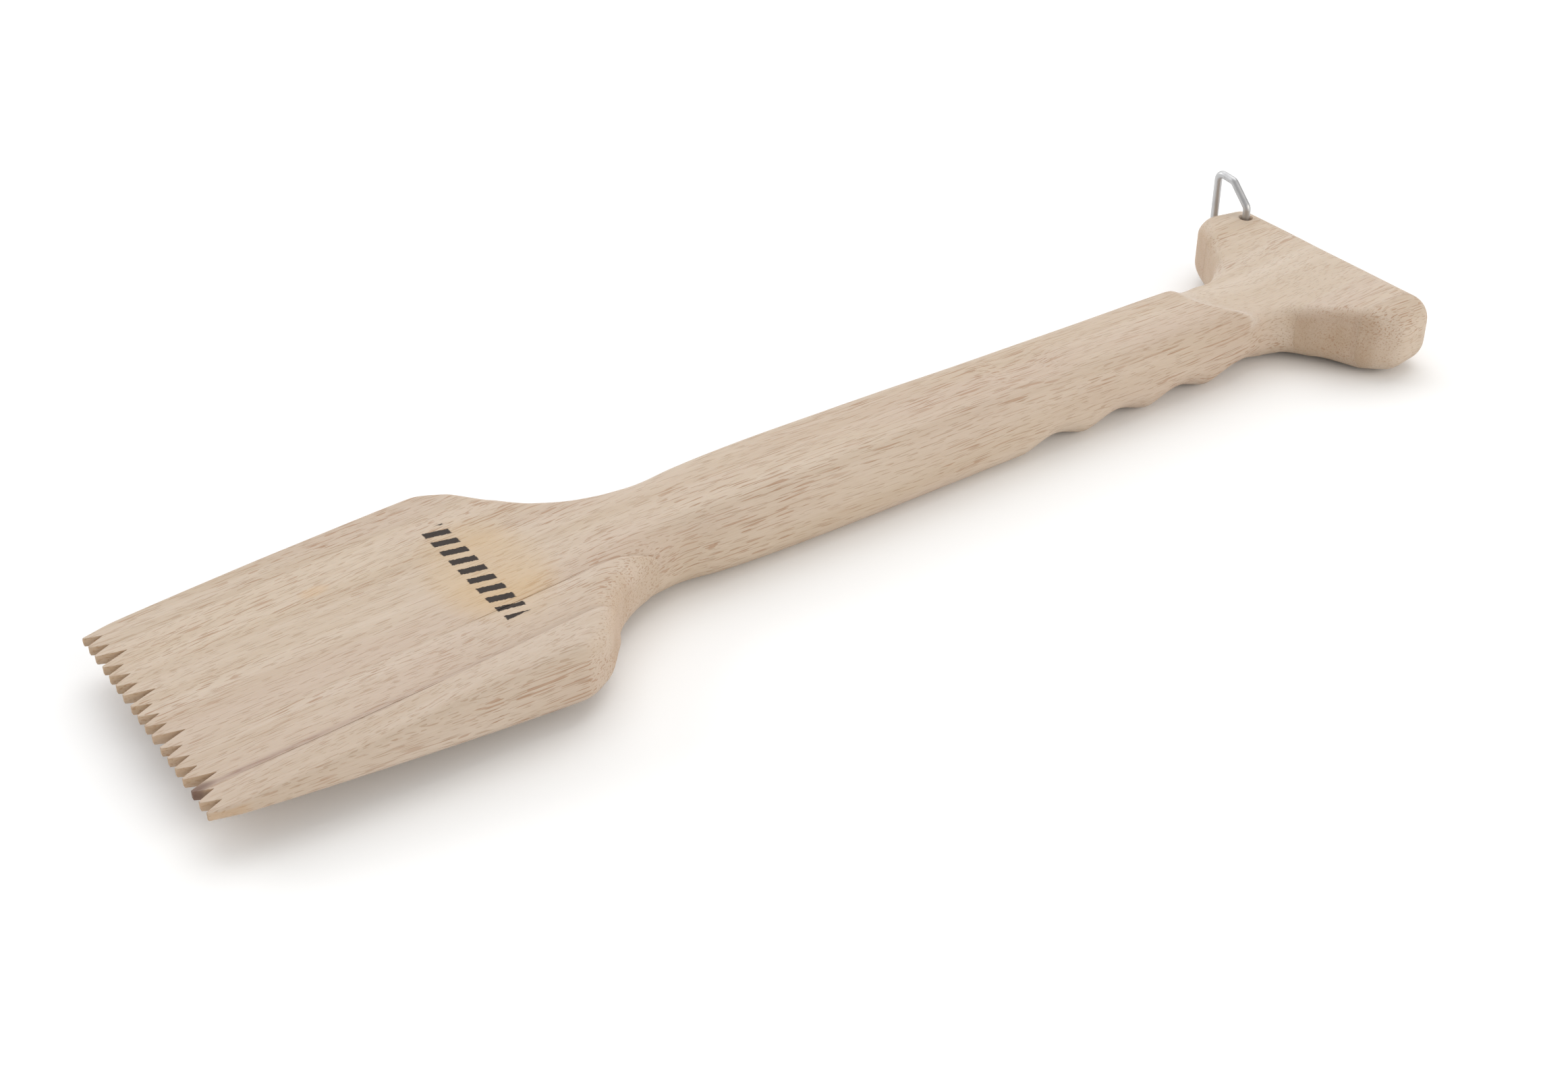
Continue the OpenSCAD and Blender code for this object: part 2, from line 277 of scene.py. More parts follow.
def notch_at(y):
    """How far behind the tips the cutting edge lies."""
    return np.interp(y, [c[0] for c in CUTTING_EDGE], [c[1] for c in CUTTING_EDGE], 0, 0)


def edge_columns(a, b, each):
    """Columns that land on every corner of the teeth between a and b, as shares of the width."""
    corners = [a] + [c[0] for c in CUTTING_EDGE if a + 0.04 < c[0] < b - 0.04] + [b]
    cols = []
    for p, q in zip(corners, corners[1:]):
        cols += [p + (q - p) * i / each for i in range(each)]
    return (np.array(cols + [b]) - a) / (b - a)


def arc_columns(a, end, flat_end, n, arcs=ARC_COLUMNS):
    """n columns from a to end: evenly over the flat part, then by angle round the edge."""
    width = end - a
    flat_end = a + min(max(flat_end - a, 0.15 * width), 0.9 * width)
    flat = np.linspace(a, flat_end, n - arcs)
    turn = np.sin(np.linspace(0, math.pi / 2, arcs + 1))[1:]
    return np.concatenate([flat, flat_end + (end - flat_end) * turn])


def shade_smooth(mesh, sharp_angle=SHARP_ANGLE):
    mesh.polygons.foreach_set("use_smooth", [True] * len(mesh.polygons))
    mesh.set_sharp_from_angle(angle=math.radians(sharp_angle))


def mesh_object(name, verts, faces, sharp_angle=SHARP_ANGLE):
    mesh = bpy.data.meshes.new(name)
    mesh.from_pydata([tuple(v) for v in verts], [], faces)
    mesh.validate()
    shade_smooth(mesh, sharp_angle)
    made = bpy.data.objects.new(name, mesh)
    bpy.context.scene.collection.objects.link(made)
    return made


def slab(name, rings):
    """A closed solid between the upper and lower rows of points of each ring."""
    n = len(rings[0][0])
    verts = np.concatenate([np.concatenate(r) for r in rings])
    verts = verts * MM - np.array([TOOL_L / 2 * MM, 0, 0])
    row, last = 2 * n, (len(rings) - 1) * 2 * n
    faces = []
    for r in range(len(rings) - 1):
        t = r * row
        u = t + n
        for k in range(n - 1):
            faces.append((t + k, t + k + row, t + k + 1 + row, t + k + 1)[::-1])
            faces.append((u + k, u + k + row, u + k + 1 + row, u + k + 1))
        faces.append((t, u, u + row, t + row)[::-1])
        e, f = t + n - 1, u + n - 1
        faces.append((e, f, f + row, e + row))
    for k in range(n - 1):
        faces.append((k, k + 1, n + k + 1, n + k)[::-1])
        faces.append((last + k, last + k + 1, last + n + k + 1, last + n + k))
    return mesh_object(name, verts, faces)


def ring(s, ys, lift=None, lag=0.0):
    """Upper and lower points across the tool. The front rows follow the teeth."""
    pull = 1 - ramp(s, 0, TOOTH_ROOT)
    at = s + notch_at(ys) * pull
    worn = TIP_WEAR - math.sqrt(TIP_WEAR ** 2 - (TIP_WEAR - min(s, TIP_WEAR)) ** 2)
    raised = lift(at, ys) if lift else 0.0
    upper_z = top_z(at, ys) - edge_drop(at, ys, lag, TOP_RADII) - worn + raised
    lower_z = under_z(at, ys) + edge_drop(at, ys, lag) + worn
    upper = np.stack([at, ys, upper_z], -1)
    lower = np.stack([at, ys, lower_z], -1)
    return upper, lower


BODY_S = 13.5
TIP_ROWS = [0.0, 0.06, 0.16, 0.35, 0.9, 1.8, 3.0, 4.5, 6.0, 8.0, 10.0, 12.0]
REAR_ROWS = [REAR_S + GRIP_R * math.sin(math.radians(q)) for q in range(6, 90, 6)]


def stations(a, b, step):
    """Even places from a to b, about a step apart."""
    return list(np.linspace(a, b, max(2, int(round((b - a) / step)) + 1)))


def crossing(w, side, span, lag=0.0):
    """Where the half width is w, between the wide and the narrow end of a span."""
    wide_s, narrow_s = span
    for _ in range(30):
        middle = (wide_s + narrow_s) / 2
        if half_w(middle, side, lag) > w:
            wide_s = middle
        else:
            narrow_s = middle
    return (wide_s + narrow_s) / 2


def with_rows(rows, added):
    """Puts rows at the added places, so that a wall turns exactly where it leaves the piece."""
    near = [s + d for s in added for d in (-0.5, 0.0, 0.5)]
    kept = [s for s in rows if min(abs(s - n) for n in near) > 0.2]
    return sorted(kept + near)


def core():
    """The middle stave. Its columns follow the teeth in front and the rounded edges behind."""
    shares = edge_columns(-GLUE_INNER, GLUE_INNER, TOOTH_COLUMNS) * 2 - 1
    n = len(shares)
    half = n // 2
    rings = []
    rows = TIP_ROWS + stations(BODY_S, REAR_S, ROW_STEP) + REAR_ROWS + [LAST_S]
    turns = [crossing(GLUE_INNER, side, span)
             for span in (NECK_SPAN, GRIP_SPAN) for side in (LEFT, RIGHT)]
    for s in with_rows(rows, turns):
        sides = []
        for side, count in ((RIGHT, half + 1), (LEFT, n - half)):
            hw = float(half_w(s, side))
            end = min(hw, GLUE_INNER)
            flat_end = min(hw - float(edge_reach(s, side)), GLUE_INNER - 1.5)
            sides.append(arc_columns(0.0, end, flat_end, count))
        even = np.concatenate([-sides[0][::-1], sides[1][1:]])
        front = shares * np.where(shares < 0, sides[0][-1], sides[1][-1])
        ys = front + (even - front) * ramp(s, 0, EVEN_S)
        rings.append(ring(s, ys))
    return slab("core_stave_wood", rings)


def side_ring(s, side, ys, lift, lag):
    """A ring for either side, always with its points from right to left."""
    return ring(s, ys if side == LEFT else -ys[::-1], lift, lag)


def strip_lift(a, height, start_s, end_s, round_r):
    """A raised strip: it climbs toward the rear, and its inner edge is rounded into a valley."""
    def lift(s, y):
        up = height * ramp(s, start_s, end_s)
        into = np.clip(np.abs(y) - a, 0, round_r)
        drop = round_r - np.sqrt(np.clip(round_r ** 2 - (round_r - into) ** 2, 0, None))
        valley = 0.12 * soft(s, start_s, start_s + 15)
        return up - np.minimum(drop, up + valley)
    return lift


def blade_side(name, side, a, b, lift=None, lag=0.0):
    """A stave beside the core at the blade, from a to b out from the middle line."""
    front_w = min(float(half_w(0, side)), b)
    shares = edge_columns(a, front_w, TOOTH_COLUMNS)
    end_s = crossing(a + LEAST_W, side, NECK_SPAN, lag)
    rings = []
    rows = TIP_ROWS + stations(BODY_S, end_s - 14, ROW_STEP)
    rows += stations(end_s - 13.4, end_s, FINE_ROW_STEP)
    if b == GLUE_OUTER:
        rows = with_rows(rows, [crossing(b, side, NECK_SPAN, lag)])
    for s in rows:
        hw = float(half_w(s, side, lag))
        end = min(hw, b)
        flat_end = min(hw - float(edge_reach(s, side, lag)), end - 1.0)
        even = arc_columns(a, end, flat_end, len(shares))
        ys = a + (end - a) * shares
        rings.append(side_ring(s, side, ys + (even - ys) * ramp(s, 0, EVEN_S), lift, lag))
    return slab(name, rings)


def grip_side(name, side, a, b):
    """A stave beside the core at the grip, from a to b out from the middle line."""
    start_s = crossing(a + LEAST_W, side, GRIP_SPAN)
    rings = []
    rows = stations(start_s, REAR_S, GRIP_ROW_STEP) + REAR_ROWS + [LAST_S]
    if b == GLUE_OUTER:
        rows = with_rows(rows, [crossing(b, side, GRIP_SPAN)])
    for s in rows:
        hw = float(half_w(s, side))
        end = min(hw, b)
        flat_end = min(hw - float(edge_reach(s, side)), end - 0.5)
        rings.append(side_ring(s, side, arc_columns(a, end, flat_end, GRIP_COLUMNS),
                               None, 0.0))
    return slab(name, rings)


def lathe(name, profile, n=BORE_SIDES):
    """A solid of revolution about the hole's axis, from (radius, height) pairs."""
    verts, faces = [], []
    for r, z in profile:
        for k in range(n):
            a = 2 * math.pi * k / n
            verts.append(((HOLE_S - TOOL_L / 2 + r * math.cos(a)) * MM,
                          (HOLE_Y + r * math.sin(a)) * MM, z * MM))
    for i in range(len(profile) - 1):
        for k in range(n):
            j = (k + 1) % n
            faces.append((i * n + k, i * n + j, (i + 1) * n + j, (i + 1) * n + k))
    faces.append(tuple(range(n))[::-1])
    faces.append(tuple(range((len(profile) - 1) * n, len(profile) * n)))
    return mesh_object(name, verts, faces)


def bore(piece):
    """Cuts the bail's hole: a wide lower mouth, a straight bore, a broken upper mouth."""
    cutter = lathe("cutter", [(3.0, 0.5), (3.0, 3.3), (2.45, 4.05), (HOLE_R, 4.9),
                              (HOLE_R, 25.4), (2.3, 25.8), (2.7, 26.25), (2.7, 30.0)])
    cut = piece.modifiers.new("bore", "BOOLEAN")
    cut.operation, cut.solver, cut.object = "DIFFERENCE", "EXACT", cutter
    graph = bpy.context.evaluated_depsgraph_get()
    done = bpy.data.meshes.new_from_object(piece.evaluated_get(graph))
    piece.modifiers.clear()
    piece.data = done
    shade_smooth(done)
    bpy.data.objects.remove(cutter)
    return piece


def wire_path():
    """The bail's middle line, in its own plane: straight runs joined by round bends."""
    low, shoulder = WIRE_R + BAIL_GAP_BELOW, BAIL_TOP_Z - 9.8
    middle, top = BAIL_TOP_Z - 2.2, BAIL_TOP_Z - WIRE_R
    corners = [Vector(c) for c in ((0, low), (0, shoulder), (BAIL_REACH / 2, middle),
                                   (BAIL_REACH, top), (BAIL_REACH, low))]
    path = []
    for i, corner in enumerate(corners):
        to_last = (corners[i - 1] - corner).normalized()
        to_next = (corners[(i + 1) % len(corners)] - corner).normalized()
        half = to_last.angle(to_next) / 2
        centre = corner + (to_last + to_next).normalized() * (BEND_R / math.sin(half))
        foot_a = corner + to_last * (BEND_R / math.tan(half)) - centre
        foot_b = corner + to_next * (BEND_R / math.tan(half)) - centre
        a0 = math.atan2(foot_a.y, foot_a.x)
        turn = (math.atan2(foot_b.y, foot_b.x) - a0 + math.pi) % (2 * math.pi) - math.pi
        for j in range(BEND_STEPS + 1):
            a = a0 + turn * j / BEND_STEPS
            path.append(centre + Vector((math.cos(a), math.sin(a))) * BEND_R)
    fine = []
    for p, q in zip(path, path[1:] + path[:1]):
        cuts = max(1, int((q - p).length / WIRE_STEP))
        fine += [p.lerp(q, c / cuts) for c in range(cuts)]
    return fine


WIRE_LAYERS = ("wire_along", "wire_turn")


def bail():
    """A closed tube along the wire's path, with its length and turn kept for the material."""
    path = wire_path()
    around = WIRE_SIDES
    verts, faces, along, turn = [], [], [], []
    length = 0.0
    for i, p in enumerate(path):
        ahead = (path[(i + 1) % len(path)] - path[i - 1]).normalized()
        across = Vector((ahead.y, -ahead.x))
        length += (p - path[i - 1]).length if i else 0.0
        for k in range(around):
            a = 2 * math.pi * k / around
            out = across * math.cos(a) * WIRE_R
            verts.append(((HOLE_S - TOOL_L / 2 + WIRE_R * math.sin(a)) * MM,
                          (HOLE_Y + p.x + out.x) * MM, (p.y + out.y) * MM))
            along.append(length * MM)
            turn.append(a)
    rows = len(path)
    for i in range(rows):
        j = (i + 1) % rows
        for k in range(around):
            m = (k + 1) % around
            faces.append((i * around + k, i * around + m, j * around + m, j * around + k)[::-1])
    made = mesh_object("hanging_bail_wire", verts, faces, WIRE_SHARP_ANGLE)
    for name, values in zip(WIRE_LAYERS, (along, turn)):
        layer = made.data.attributes.new(name, "FLOAT", "POINT")
        layer.data.foreach_set("value", values)
    return made


# Output numbers of the nodes that have more than one
NORMAL, OBJECT = 1, 3
NOISE_COLOUR = 1
ATTRIBUTE_VALUE = 2


class Graph:
    """Short names for the shader nodes that the materials use."""

    def __init__(self, name):
        self.material = bpy.data.materials.new(name)
        self.material.use_nodes = True
        self.tree = self.material.node_tree
        self.shader = self.tree.nodes["Principled BSDF"]

    def put(self, socket, value):
        if isinstance(value, bpy.types.NodeSocket):
            self.tree.links.new(value, socket)
        else:
            socket.default_value = value

    def node(self, kind, out=0, settings=None, **inputs):
        made = self.tree.nodes.new(kind)
        for key, value in (settings or {}).items():
            setattr(made, key, value)
        for key, value in inputs.items():
            self.put(made.inputs[key.replace("_", " ")], value)
        return made.outputs[out]

    def coordinates(self, kind):
        return self.node("ShaderNodeTexCoord", out=kind)

    def parts(self, vector):
        made = self.tree.nodes.new("ShaderNodeSeparateXYZ")
        self.put(made.inputs[0], vector)
        return made.outputs[:3]

    def vector(self, operation, a, b):
        made = self.tree.nodes.new("ShaderNodeVectorMath")
        made.operation = operation
        self.put(made.inputs[0], a)
        self.put(made.inputs[1], b)
        return made.outputs[0]

    def math(self, operation, *values):
        made = self.tree.nodes.new("ShaderNodeMath")
        made.operation = operation
        for i, value in enumerate(values):
            self.put(made.inputs[i], value)
        return made.outputs[0]

    def step(self, value, low, high, to_low=0.0, to_high=1.0):
        made = self.tree.nodes.new("ShaderNodeMapRange")
        made.interpolation_type = "SMOOTHSTEP"
        for i, v in enumerate((value, low, high, to_low, to_high)):
            self.put(made.inputs[i], v)
        return made.outputs[0]

    def mapped(self, vector, location=(0, 0, 0), rotation=(0, 0, 0), scale=(1, 1, 1)):
        return self.node("ShaderNodeMapping", Vector=vector, Location=location,
                         Rotation=rotation, Scale=scale)

    def noise(self, vector, scale, detail=2.0, rough=0.5, location=(0, 0, 0)):
        return self.node("ShaderNodeTexNoise", Vector=self.mapped(vector, location, scale=scale),
                         Scale=1.0, Detail=detail, Roughness=rough)

    def blend(self, factor, a, b, mode="MIX"):
        made = self.tree.nodes.new("ShaderNodeMix")
        made.data_type, made.blend_type, made.clamp_factor = "RGBA", mode, True
        self.put(made.inputs["Factor"], factor)
        self.put([i for i in made.inputs if i.name == "A" and i.type == "RGBA"][0], a)
        self.put([i for i in made.inputs if i.name == "B" and i.type == "RGBA"][0], b)
        return [o for o in made.outputs if o.type == "RGBA"][0]

    def spot(self, xyz, centre, radii):
        """1 at the centre of an ellipsoid, fading to 0 at its surface."""
        parts = []
        for value, c, r in zip(xyz, centre, radii):
            parts.append(self.math("POWER", self.math("DIVIDE", self.math("ABSOLUTE",
                         self.math("SUBTRACT", value, c)), r), 2.0))
        total = self.math("ADD", self.math("ADD", parts[0], parts[1]), parts[2])
        return self.step(total, 1.0, 0.0)


def place(s, y, z):
    """A point given behind the tooth tips, to the left and up, in the frame's metres."""
    return ((s - TOOL_L / 2) * MM, y * MM, z * MM)


def burnt_mark(g, xyz, rough_edge):
    """A row of plain slanting bars, like the marks of a grate, burnt into the blade's top."""
    x, y, z = xyz
    mark_s, mark_y, slant, half_pitch, always_positive = 101, 2.5, 0.32, 2.8, 0.1
    along_tool = g.math("ADD", g.math("SUBTRACT", x, (mark_s - TOOL_L / 2) * MM), rough_edge)
    row = g.math("ADD", g.math("SUBTRACT", y, mark_y * MM), rough_edge)
    slanted = g.math("ADD", g.math("MULTIPLY", along_tool, slant), row)
    bar_at = g.math("PINGPONG", g.math("ADD", slanted, always_positive), half_pitch * MM)
    bar = g.step(bar_at, 1.55 * MM, 1.25 * MM)
    in_row = g.step(g.math("ABSOLUTE", row), 27.2 * MM, 26.8 * MM)
    in_height = g.step(g.math("ABSOLUTE", along_tool), 3.9 * MM, 3.5 * MM)
    on_top = g.step(z, 14 * MM, 15 * MM)
    return g.math("MULTIPLY", g.math("MULTIPLY", bar, in_row),
                  g.math("MULTIPLY", in_height, on_top))


def painted_crease_highlight(g, xyz):
    """Painted highlight: the hollow of the grip is painted paler, most of all along its front
    crease, whose slope catches the light.
    """
    x, y, z = xyz
    bow = g.math("POWER", g.math("MAXIMUM", g.math("SUBTRACT", CREASE_Y * MM, y), 0.0), 3.0)
    bow = g.math("MULTIPLY", bow, CREASE_BOW / MM ** 2)
    bow = g.math("MINIMUM", bow, CREASE_BOW_MAX * MM)
    into = g.math("SUBTRACT", g.math("SUBTRACT", x, (CREASE_S - TOOL_L / 2) * MM), bow)
    inside = g.step(into, -1.5 * MM, 1.5 * MM)
    band = g.math("ADD", g.step(into, 1 * MM, 12 * MM, 0.24, 0.0), 0.12)
    across = g.step(g.math("ABSOLUTE", y), 40 * MM, 14 * MM)
    on_top = g.step(z, 18 * MM, 21 * MM)
    return g.math("MULTIPLY", g.math("MULTIPLY", inside, band),
                  g.math("MULTIPLY", across, on_top))


PALE = (0.575, 0.478, 0.385)
TAN = (0.515, 0.412, 0.312)
ROSY = (0.515, 0.405, 0.330)
FIBRE_BROWN = (0.38, 0.27, 0.18, 1)
SMALL_VESSEL = (0.30, 0.18, 0.10, 1)
BOLD_VESSEL = (0.31, 0.155, 0.075, 1)
# End grain brown, also standing in for painted shade on faces that look along the tool
END_GRAIN_AND_SHADE = (0.42, 0.27, 0.16, 1)
SAWN_TAN = (0.45, 0.27, 0.12, 1)
# Painted highlight colour for the grip's hollow and its crease
CREASE_HIGHLIGHT_PALE = (0.70, 0.645, 0.585, 1)
STREAK_PURPLE = (0.22, 0.12, 0.10, 1)
TOOTH_DARK = (0.13, 0.07, 0.05, 1)
KNOT_TAN = (0.56, 0.38, 0.22, 1)
KNOT_DARK = (0.13, 0.06, 0.03, 1)
SCORCH = (0.56, 0.37, 0.16, 1)
CHAR_BLACK = (0.010, 0.006, 0.004, 1)
CHAR_BROWN = (0.034, 0.018, 0.010, 1)
STEEL_DARK = (0.42, 0.42, 0.43, 1)
STEEL_LIGHT = (0.58, 0.58, 0.58, 1)
STEEL_DULL = (0.34, 0.33, 0.32, 1)
PAPER_DARK = (0.940, 0.940, 0.940, 1)
PAPER_LIGHT = (0.955, 0.955, 0.955, 1)

# The stain lies in the valley beside the outer strip and ends in the third tooth from the right
STREAK_Y = 35.2


def toned(colour, tone, warmth=1.0):
    return (colour[0] * tone, colour[1] * tone, colour[2] * tone * warmth, 1)


def wood(name, offset, turn, tone, warmth):
    """Rubberwood: pale, with soft bands along the grain and short brown vessel lines."""
    g = Graph(name)
    at = g.coordinates(OBJECT)
    xyz = g.parts(at)
    grain = g.mapped(at, location=offset, rotation=(0.0, turn * 0.6, turn))
    sway = g.node("ShaderNodeTexNoise", out=NOISE_COLOUR,
                  Vector=g.mapped(grain, scale=(9, 26, 26)), Scale=1.0, Detail=1.0)
    sway = g.vector("MULTIPLY", g.vector("SUBTRACT", sway, (0.5, 0.5, 0.5)), (0.0, 0.006, 0.006))
    bent = g.vector("ADD", grain, sway)

    # Scales are per metre: along the grain, then twice across it
    band = g.noise(bent, (5, 120, 75), 3.0, 0.55)
    cloud = g.noise(grain, (11, 34, 34), 2.0, 0.5, (3.1, 0.7, 1.9))
    fibre = g.noise(bent, (75, 2600, 2600), 3.0, 0.6)
    bold = g.noise(bent, (95, 1750, 1750), 0.0, 0.5, (7.3, 2.2, 5.0))
    small = g.noise(bent, (150, 2700, 2700), 0.0, 0.5, (1.7, 9.4, 3.3))
    patch = g.noise(grain, (22, 60, 60), 1.0, 0.5, (5.5, 1.2, 0.3))
    bold = g.math("MULTIPLY", g.step(bold, 0.640, 0.685), g.step(patch, 0.33, 0.62))
    small = g.step(small, 0.640, 0.695)

    colour = g.blend(g.step(band, 0.34, 0.66), toned(TAN, tone, warmth),
                     toned(PALE, tone, warmth))
    colour = g.blend(g.step(cloud, 0.42, 0.70, 0.0, 0.55), colour, toned(ROSY, tone))
    colour = g.blend(g.step(fibre, 0.30, 0.72, 0.22, 0.0), colour, FIBRE_BROWN)
    colour = g.blend(g.math("MULTIPLY", small, 0.40), colour, SMALL_VESSEL)
    colour = g.blend(g.math("MULTIPLY", bold, 0.53), colour, BOLD_VESSEL)

    facing_x, _, facing_z = g.parts(g.coordinates(NORMAL))
    # Faces that look along the tool are darkened: partly their end grain, partly painted shade
    end_grain_and_shade = g.step(g.math("ABSOLUTE", facing_x), 0.35, 0.95, 0.0, 0.42)
    colour = g.blend(end_grain_and_shade, colour, END_GRAIN_AND_SHADE)
    sawn = g.math("MULTIPLY", g.step(g.math("ABSOLUTE", facing_z), 0.6, 0.2),
                  g.step(xyz[0], -0.213, -0.217, 0.0, 0.34))
    colour = g.blend(sawn, colour, SAWN_TAN)
    # Painted highlight: the grip's hollow and its front crease are painted paler
    colour = g.blend(painted_crease_highlight(g, xyz), colour, CREASE_HIGHLIGHT_PALE)

    streak = g.math("MULTIPLY", g.step(g.math("ABSOLUTE", g.math("ADD", xyz[1], STREAK_Y * MM)),
                    1.7 * MM, 0.0), g.step(xyz[0], -0.150, -0.218, 0.10, 0.58))
    streak = g.math("MULTIPLY", streak, g.step(fibre, 0.35, 0.6, 0.55, 1.0))
    colour = g.blend(streak, colour, STREAK_PURPLE)
    # One dark tooth and two knots
    tooth = g.spot(xyz, place(1.5, -34.8, 14), (7 * MM, 2.4 * MM, 4 * MM))
    colour = g.blend(g.math("MULTIPLY", tooth, 0.8), colour, TOOTH_DARK)
    knot = g.spot(xyz, place(60.5, 22.9, 19.5), (6 * MM, 3 * MM, 4 * MM))
    colour = g.blend(g.math("MULTIPLY", knot, 0.45), colour, KNOT_TAN)
    knot = g.spot(xyz, place(99.4, -50, 5.9), (1.9 * MM, 5 * MM, 1.0 * MM))
    colour = g.blend(g.math("MULTIPLY", knot, 0.9), colour, KNOT_DARK)

    ragged = g.math("MULTIPLY", g.math("SUBTRACT", g.noise(at, (1300, 1300, 1300), 2.0), 0.5),
                    0.7 * MM)
    halo = g.spot(xyz, place(104, 0, 22.5), (21 * MM, 32 * MM, 12 * MM))
    halo = g.math("MULTIPLY", halo, g.step(cloud, 0.25, 0.7, 0.18, 0.60))
    colour = g.blend(halo, colour, SCORCH)
    mark = burnt_mark(g, xyz, ragged)
    colour = g.blend(mark, colour, g.blend(fibre, CHAR_BLACK, CHAR_BROWN))
    g.put(g.shader.inputs["Base Color"], colour)

    height = g.math("MULTIPLY", fibre, 0.35)
    height = g.math("SUBTRACT", height, g.math("MULTIPLY", bold, 0.9))
    height = g.math("SUBTRACT", height, g.math("MULTIPLY", small, 0.5))
    height = g.math("SUBTRACT", height, g.math("MULTIPLY", mark, 2.4))
    g.put(g.shader.inputs["Normal"], g.node("ShaderNodeBump", Height=height, Strength=0.55,
                                            Distance=0.00011))
    g.put(g.shader.inputs["Roughness"], g.step(fibre, 0.2, 0.8, 0.50, 0.66))
    g.shader.inputs["Specular IOR Level"].default_value = 0.32
    g.shader.inputs["Subsurface Weight"].default_value = 0.06
    g.shader.inputs["Subsurface Radius"].default_value = (0.0016, 0.0009, 0.0005)
    g.shader.inputs["Subsurface Scale"].default_value = 1.0
    return g.material


def steel(name):
    """Drawn wire: fine lines along it, a few dull patches."""
    g = Graph(name)
    along, turn = [g.node("ShaderNodeAttribute", out=ATTRIBUTE_VALUE,
                          settings={"attribute_name": layer}) for layer in WIRE_LAYERS]
    flat = g.node("ShaderNodeCombineXYZ", X=along, Y=g.math("SINE", turn),
                  Z=g.math("COSINE", turn))
    lines = g.noise(flat, (90, 16, 16), 3.0, 0.6)
    at = g.coordinates(OBJECT)
    dull = g.noise(at, (160, 160, 160), 3.0, 0.6)
    colour = g.blend(g.step(lines, 0.3, 0.7), STEEL_DARK, STEEL_LIGHT)
    colour = g.blend(g.step(dull, 0.55, 0.75, 0.0, 0.35), colour, STEEL_DULL)
    g.put(g.shader.inputs["Base Color"], colour)
    g.shader.inputs["Metallic"].default_value = 1.0
    g.put(g.shader.inputs["Roughness"], g.step(dull, 0.3, 0.7, 0.40, 0.54))
    g.put(g.shader.inputs["Normal"], g.node("ShaderNodeBump", Height=lines, Strength=0.25,
                                            Distance=0.00005))
    return g.material


def paper(name):
    """Matt white paper under the object."""
    g = Graph(name)
    at = g.coordinates(OBJECT)
    tooth = g.noise(at, (900, 900, 900), 2.0)
    colour = g.blend(tooth, PAPER_DARK, PAPER_LIGHT)
    g.put(g.shader.inputs["Base Color"], colour)
    g.shader.inputs["Roughness"].default_value = 0.95
    g.shader.inputs["Specular IOR Level"].default_value = 0.0
    return g.material


def dress(piece, material, body, node):
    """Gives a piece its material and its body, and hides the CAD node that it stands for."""
    piece.data.materials.clear()
    piece.data.materials.append(material)
    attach(piece, body)
    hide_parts(node)


inner_lift = strip_lift(GLUE_INNER, height=1.3, start_s=78, end_s=133, round_r=2.2)
outer_lift = strip_lift(GLUE_OUTER, height=3.0, start_s=7, end_s=115, round_r=3.4)

# For each CAD node: its piece, then where its grain is taken from, the grain's turn in
# radians, and how light and how warm it is
staves = {
    "core_stave": (core(), (0.0, 0.0, 0.0), 0.010, 1.0, 1.0),
    "blade_stave_left_inner": (
        blade_side("blade_left_inner_wood", LEFT, GLUE_INNER, GLUE_OUTER),
        (0.37, 0.11, 0.05), -0.012, 1.01, 0.99),
    "blade_stave_left_outer": (
        blade_side("blade_left_outer_wood", LEFT, GLUE_OUTER, OPEN_SIDE),
        (0.81, 0.23, 0.14), 0.016, 0.98, 1.0),
    "blade_stave_right_inner": (
        blade_side("blade_right_inner_wood", RIGHT, GLUE_INNER, GLUE_OUTER,
                   inner_lift, INNER_LAG),
        (1.29, 0.31, 0.27), 0.022, 1.0, 1.02),
    "blade_stave_right_outer": (
        blade_side("blade_right_outer_wood", RIGHT, GLUE_OUTER, OPEN_SIDE,
                   outer_lift, OUTER_LAG),
        (1.73, 0.44, 0.33), -0.020, 0.99, 1.02),
    "grip_stave_left_inner": (
        grip_side("grip_left_inner_wood", LEFT, GLUE_INNER, GLUE_OUTER),
        (2.11, 0.52, 0.41), 0.030, 0.99, 1.0),
    "grip_stave_left_outer": (
        bore(grip_side("grip_left_outer_wood", LEFT, GLUE_OUTER, OPEN_SIDE)),
        (2.57, 0.63, 0.55), -0.025, 1.0, 1.0),
    "grip_stave_right_inner": (
        grip_side("grip_right_inner_wood", RIGHT, GLUE_INNER, GLUE_OUTER),
        (3.03, 0.71, 0.62), 0.024, 1.0, 1.0),
    "grip_stave_right_outer": (
        grip_side("grip_right_outer_wood", RIGHT, GLUE_OUTER, OPEN_SIDE),
        (3.49, 0.83, 0.77), -0.018, 0.97, 1.0),
}
for node, (piece, offset, turn, tone, warmth) in staves.items():
    dress(piece, wood(piece.name, offset, turn, tone, warmth), "scraper", node)
dress(bail(), steel("hanging_bail_steel"), "bail", "hanging_bail")

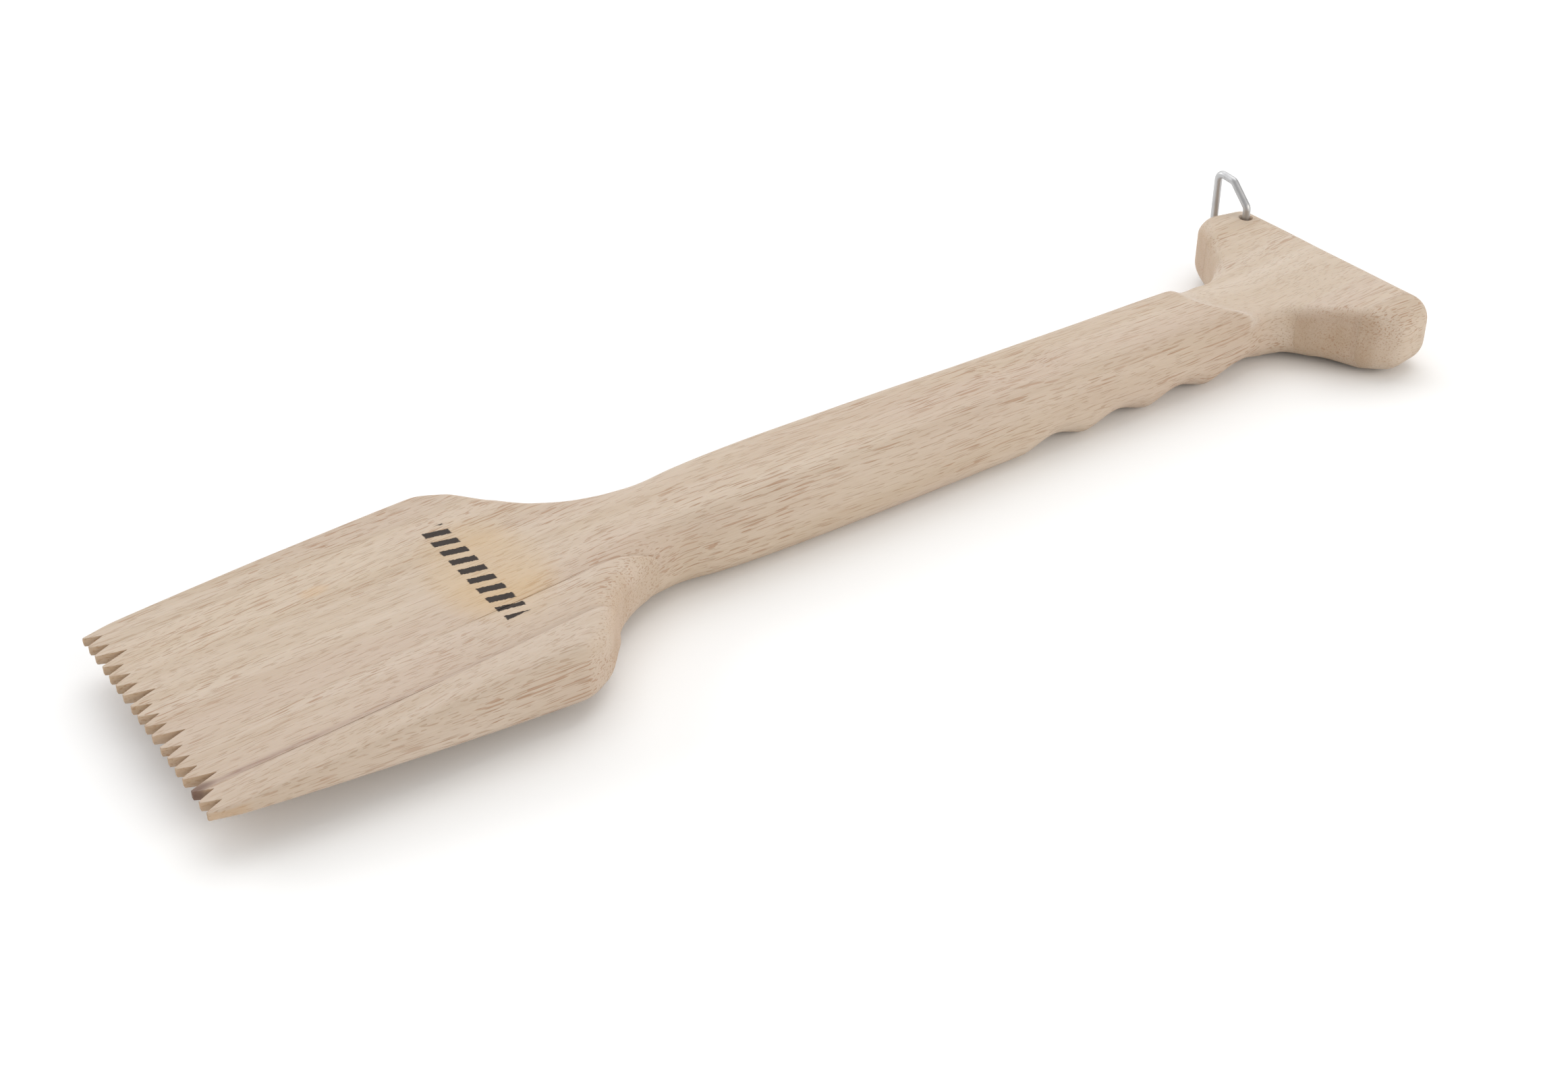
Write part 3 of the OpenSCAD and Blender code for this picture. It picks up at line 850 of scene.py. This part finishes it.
FLOOR = 4
floor_corners = [(-FLOOR, -FLOOR, 0), (FLOOR, -FLOOR, 0), (FLOOR, FLOOR, 0), (-FLOOR, FLOOR, 0)]
floor = mesh_object("floor", floor_corners, [(0, 1, 2, 3)])
floor.data.materials.append(paper("floor_paper"))


def area_light(name, at, toward, size, power, colour=(1.0, 1.0, 1.0)):
    data = bpy.data.lights.new(name, "AREA")
    data.color = colour
    data.shape, data.size, data.size_y, data.energy = "RECTANGLE", size[0], size[1], power
    made = bpy.data.objects.new(name, data)
    made.location = at
    made.rotation_euler = (Vector(toward) - Vector(at)).to_track_quat("-Z", "Y").to_euler()
    bpy.context.scene.collection.objects.link(made)


area_light("key_softbox", at=(0.70, 0.75, 1.65), toward=(0, 0, 0), size=(2.2, 2.2), power=22)
area_light("far_softbox", at=(-0.75, 1.5, 0.85), toward=(0, 0, 0), size=(1.2, 0.8), power=11)
area_light("near_fill", at=(0.70, -1.7, 0.80), toward=(0, 0, 0.01), size=(1.8, 1.0), power=16,
           colour=(1.0, 0.95, 0.86))
world = bpy.data.worlds.new("studio")
world.use_nodes = True
background = world.node_tree.nodes["Background"]
background.inputs["Color"].default_value = (1.0, 1.0, 1.0, 1)
background.inputs["Strength"].default_value = 0.60
bpy.context.scene.world = world
bpy.context.scene.view_settings.view_transform = "Standard"

# The camera stands in front of the teeth, to the right of the tool and above it
CAMERA_AT = (-0.34316, -0.47437, 0.38064)
camera_data = bpy.data.cameras.new("camera")
camera_data.lens = 50.57
camera_data.sensor_width = 36.0
camera_data.shift_x = -0.001
camera_data.shift_y = 0.0028
camera = bpy.data.objects.new("camera", camera_data)
yaw, pitch, roll = 0.9695, 0.5907, -0.0025
ahead = Vector((math.cos(pitch) * math.cos(yaw), math.cos(pitch) * math.sin(yaw),
                -math.sin(pitch)))
level = Vector((math.sin(yaw), -math.cos(yaw), 0))
upright = level.cross(ahead)
right = level * math.cos(roll) + upright * math.sin(roll)
up = upright * math.cos(roll) - level * math.sin(roll)
camera.matrix_world = Matrix.Translation(CAMERA_AT) @ Matrix(
    (right, up, -ahead)).transposed().to_4x4()
bpy.context.scene.collection.objects.link(camera)
bpy.context.scene.camera = camera
